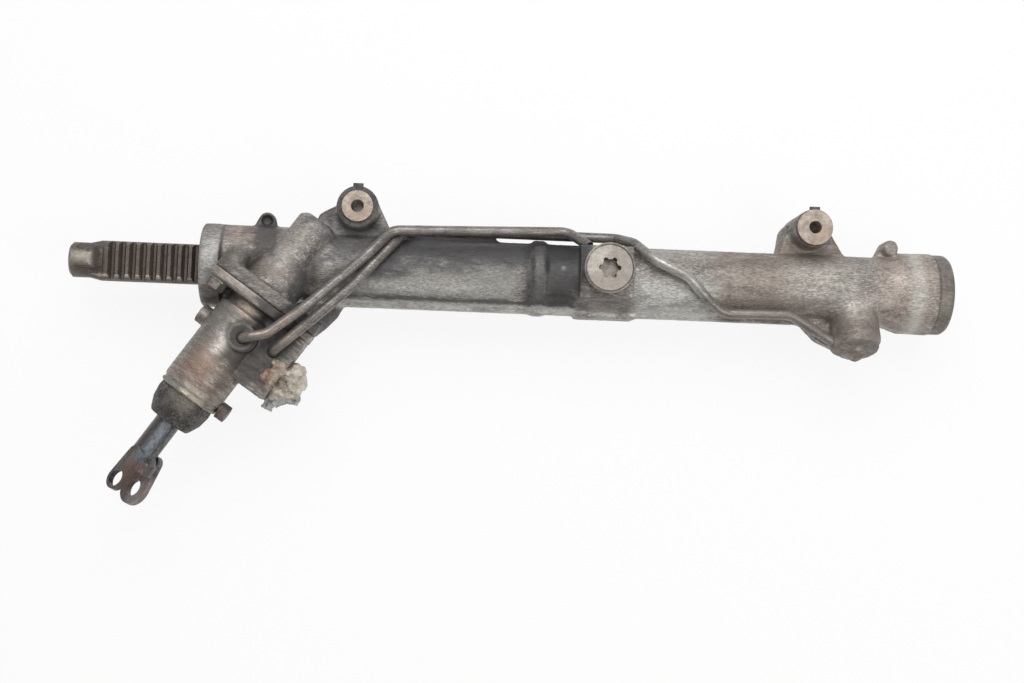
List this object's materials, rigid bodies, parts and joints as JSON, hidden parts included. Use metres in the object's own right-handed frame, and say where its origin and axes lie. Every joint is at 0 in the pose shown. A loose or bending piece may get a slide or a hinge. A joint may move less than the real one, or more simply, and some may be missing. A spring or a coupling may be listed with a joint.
{
  "type": "steering rack",
  "caption": "Hydraulic power steering rack: sliding toothed bar in a cast housing, angled pinion tower with rotary valve, fluid pipes, rubber-bushed mounts.",
  "frame": {"origin": "middle of the bore of the left mounting bush", "axes": "+X along the rack bar towards the hydraulic cylinder's end, +Y across the bar towards the mounting bushes, +Z along the mounting bolts towards the bolt heads' side"},
  "size_m": [0.703, 0.2583, 0.1031],
  "materials": {
    "cast_aluminium": "oily cast, worn",
    "machined_aluminium": "turned",
    "rack_steel": "oxidised, oily",
    "gear_steel": "ground",
    "shaft_steel": "ground, stained",
    "fastener_steel": "plain",
    "pipe_steel": "zinc plated, dull",
    "plug_steel": "satin",
    "cage_brass": "plain",
    "seal_plastic": "plain",
    "guide_plastic": "plain",
    "film_plastic": "crumpled film",
    "seal_rubber": "matt",
    "cap_rubber": "matt",
    "bush_rubber": "matt"
  },
  "bodies": {
    "housing": {"rack_housing": "cast_aluminium", "valve_housing": "machined_aluminium", "flange_bolts": "fastener_steel", "port_plug": "fastener_steel", "short_pipe": "pipe_steel", "long_pipe": "pipe_steel", "cylinder_plug": "plug_steel", "port_stopper": "film_plastic", "bearing_outer_race": "gear_steel", "pinion_end_cap": "fastener_steel", "pinion_upper_bearing": "gear_steel", "pinion_seal": "seal_rubber", "input_bearing": "gear_steel", "input_seal": "seal_rubber", "input_seal_clip": "fastener_steel", "dust_cap": "cap_rubber", "inner_rod_guide": "guide_plastic", "inner_rod_seal": "seal_rubber", "inner_seal_ring": "fastener_steel", "outer_rod_guide": "guide_plastic", "outer_rod_seal": "seal_rubber", "outer_guide_clip": "fastener_steel", "yoke": "machined_aluminium", "yoke_liner": "guide_plastic", "yoke_spring": "fastener_steel", "yoke_plug": "machined_aluminium", "yoke_locknut": "fastener_steel", "left_bush_sleeve": "fastener_steel", "left_bush_rubber": "bush_rubber", "left_bush_shell": "fastener_steel", "right_bush_sleeve": "fastener_steel", "right_bush_rubber": "bush_rubber", "right_bush_shell": "fastener_steel"},
    "rack": {"rack_bar": "rack_steel", "piston": "gear_steel", "piston_ring": "seal_plastic"},
    "pinion": {"pinion": "gear_steel", "bearing_inner_race": "gear_steel", "pinion_nut": "fastener_steel", "valve_sleeve": "gear_steel", "sleeve_rings": "seal_plastic", "sleeve_pin": "gear_steel"},
    "input": {"input_shaft": "shaft_steel", "torsion_bar": "gear_steel", "torsion_bar_pin": "gear_steel"},
    "cage": {"bearing_balls": "gear_steel", "bearing_cage": "cage_brass"}
  },
  "joints": [
    {"name": "rack_slide", "type": "slide", "parent": "housing", "child": "rack", "axis": [1, 0, 0], "range_m": [0, 0.124]},
    {"name": "pinion_spin", "type": "hinge", "parent": "housing", "child": "pinion", "pos_m": [-0.053, -0.048, 0.01867], "axis": [-0.5664, -0.8241, 0], "range_deg": [0, 912]},
    {"name": "input_twist", "type": "hinge", "parent": "pinion", "child": "input", "pos_m": [-0.053, -0.048, 0.01867], "axis": [-0.5664, -0.8241, 0], "range_deg": [-6, 6], "stiffness_Nm_per_rad": 60},
    {"name": "cage_spin", "type": "hinge", "parent": "housing", "child": "cage", "pos_m": [-0.053, -0.048, 0.01867], "axis": [-0.5664, -0.8241, 0], "range_deg": [0, 336]}
  ],
  "couplings": [
    {"joint": "pinion_spin", "follows": "rack_slide", "rad_per_m": 128.21},
    {"joint": "cage_spin", "follows": "rack_slide", "rad_per_m": 47.009}
  ]
}
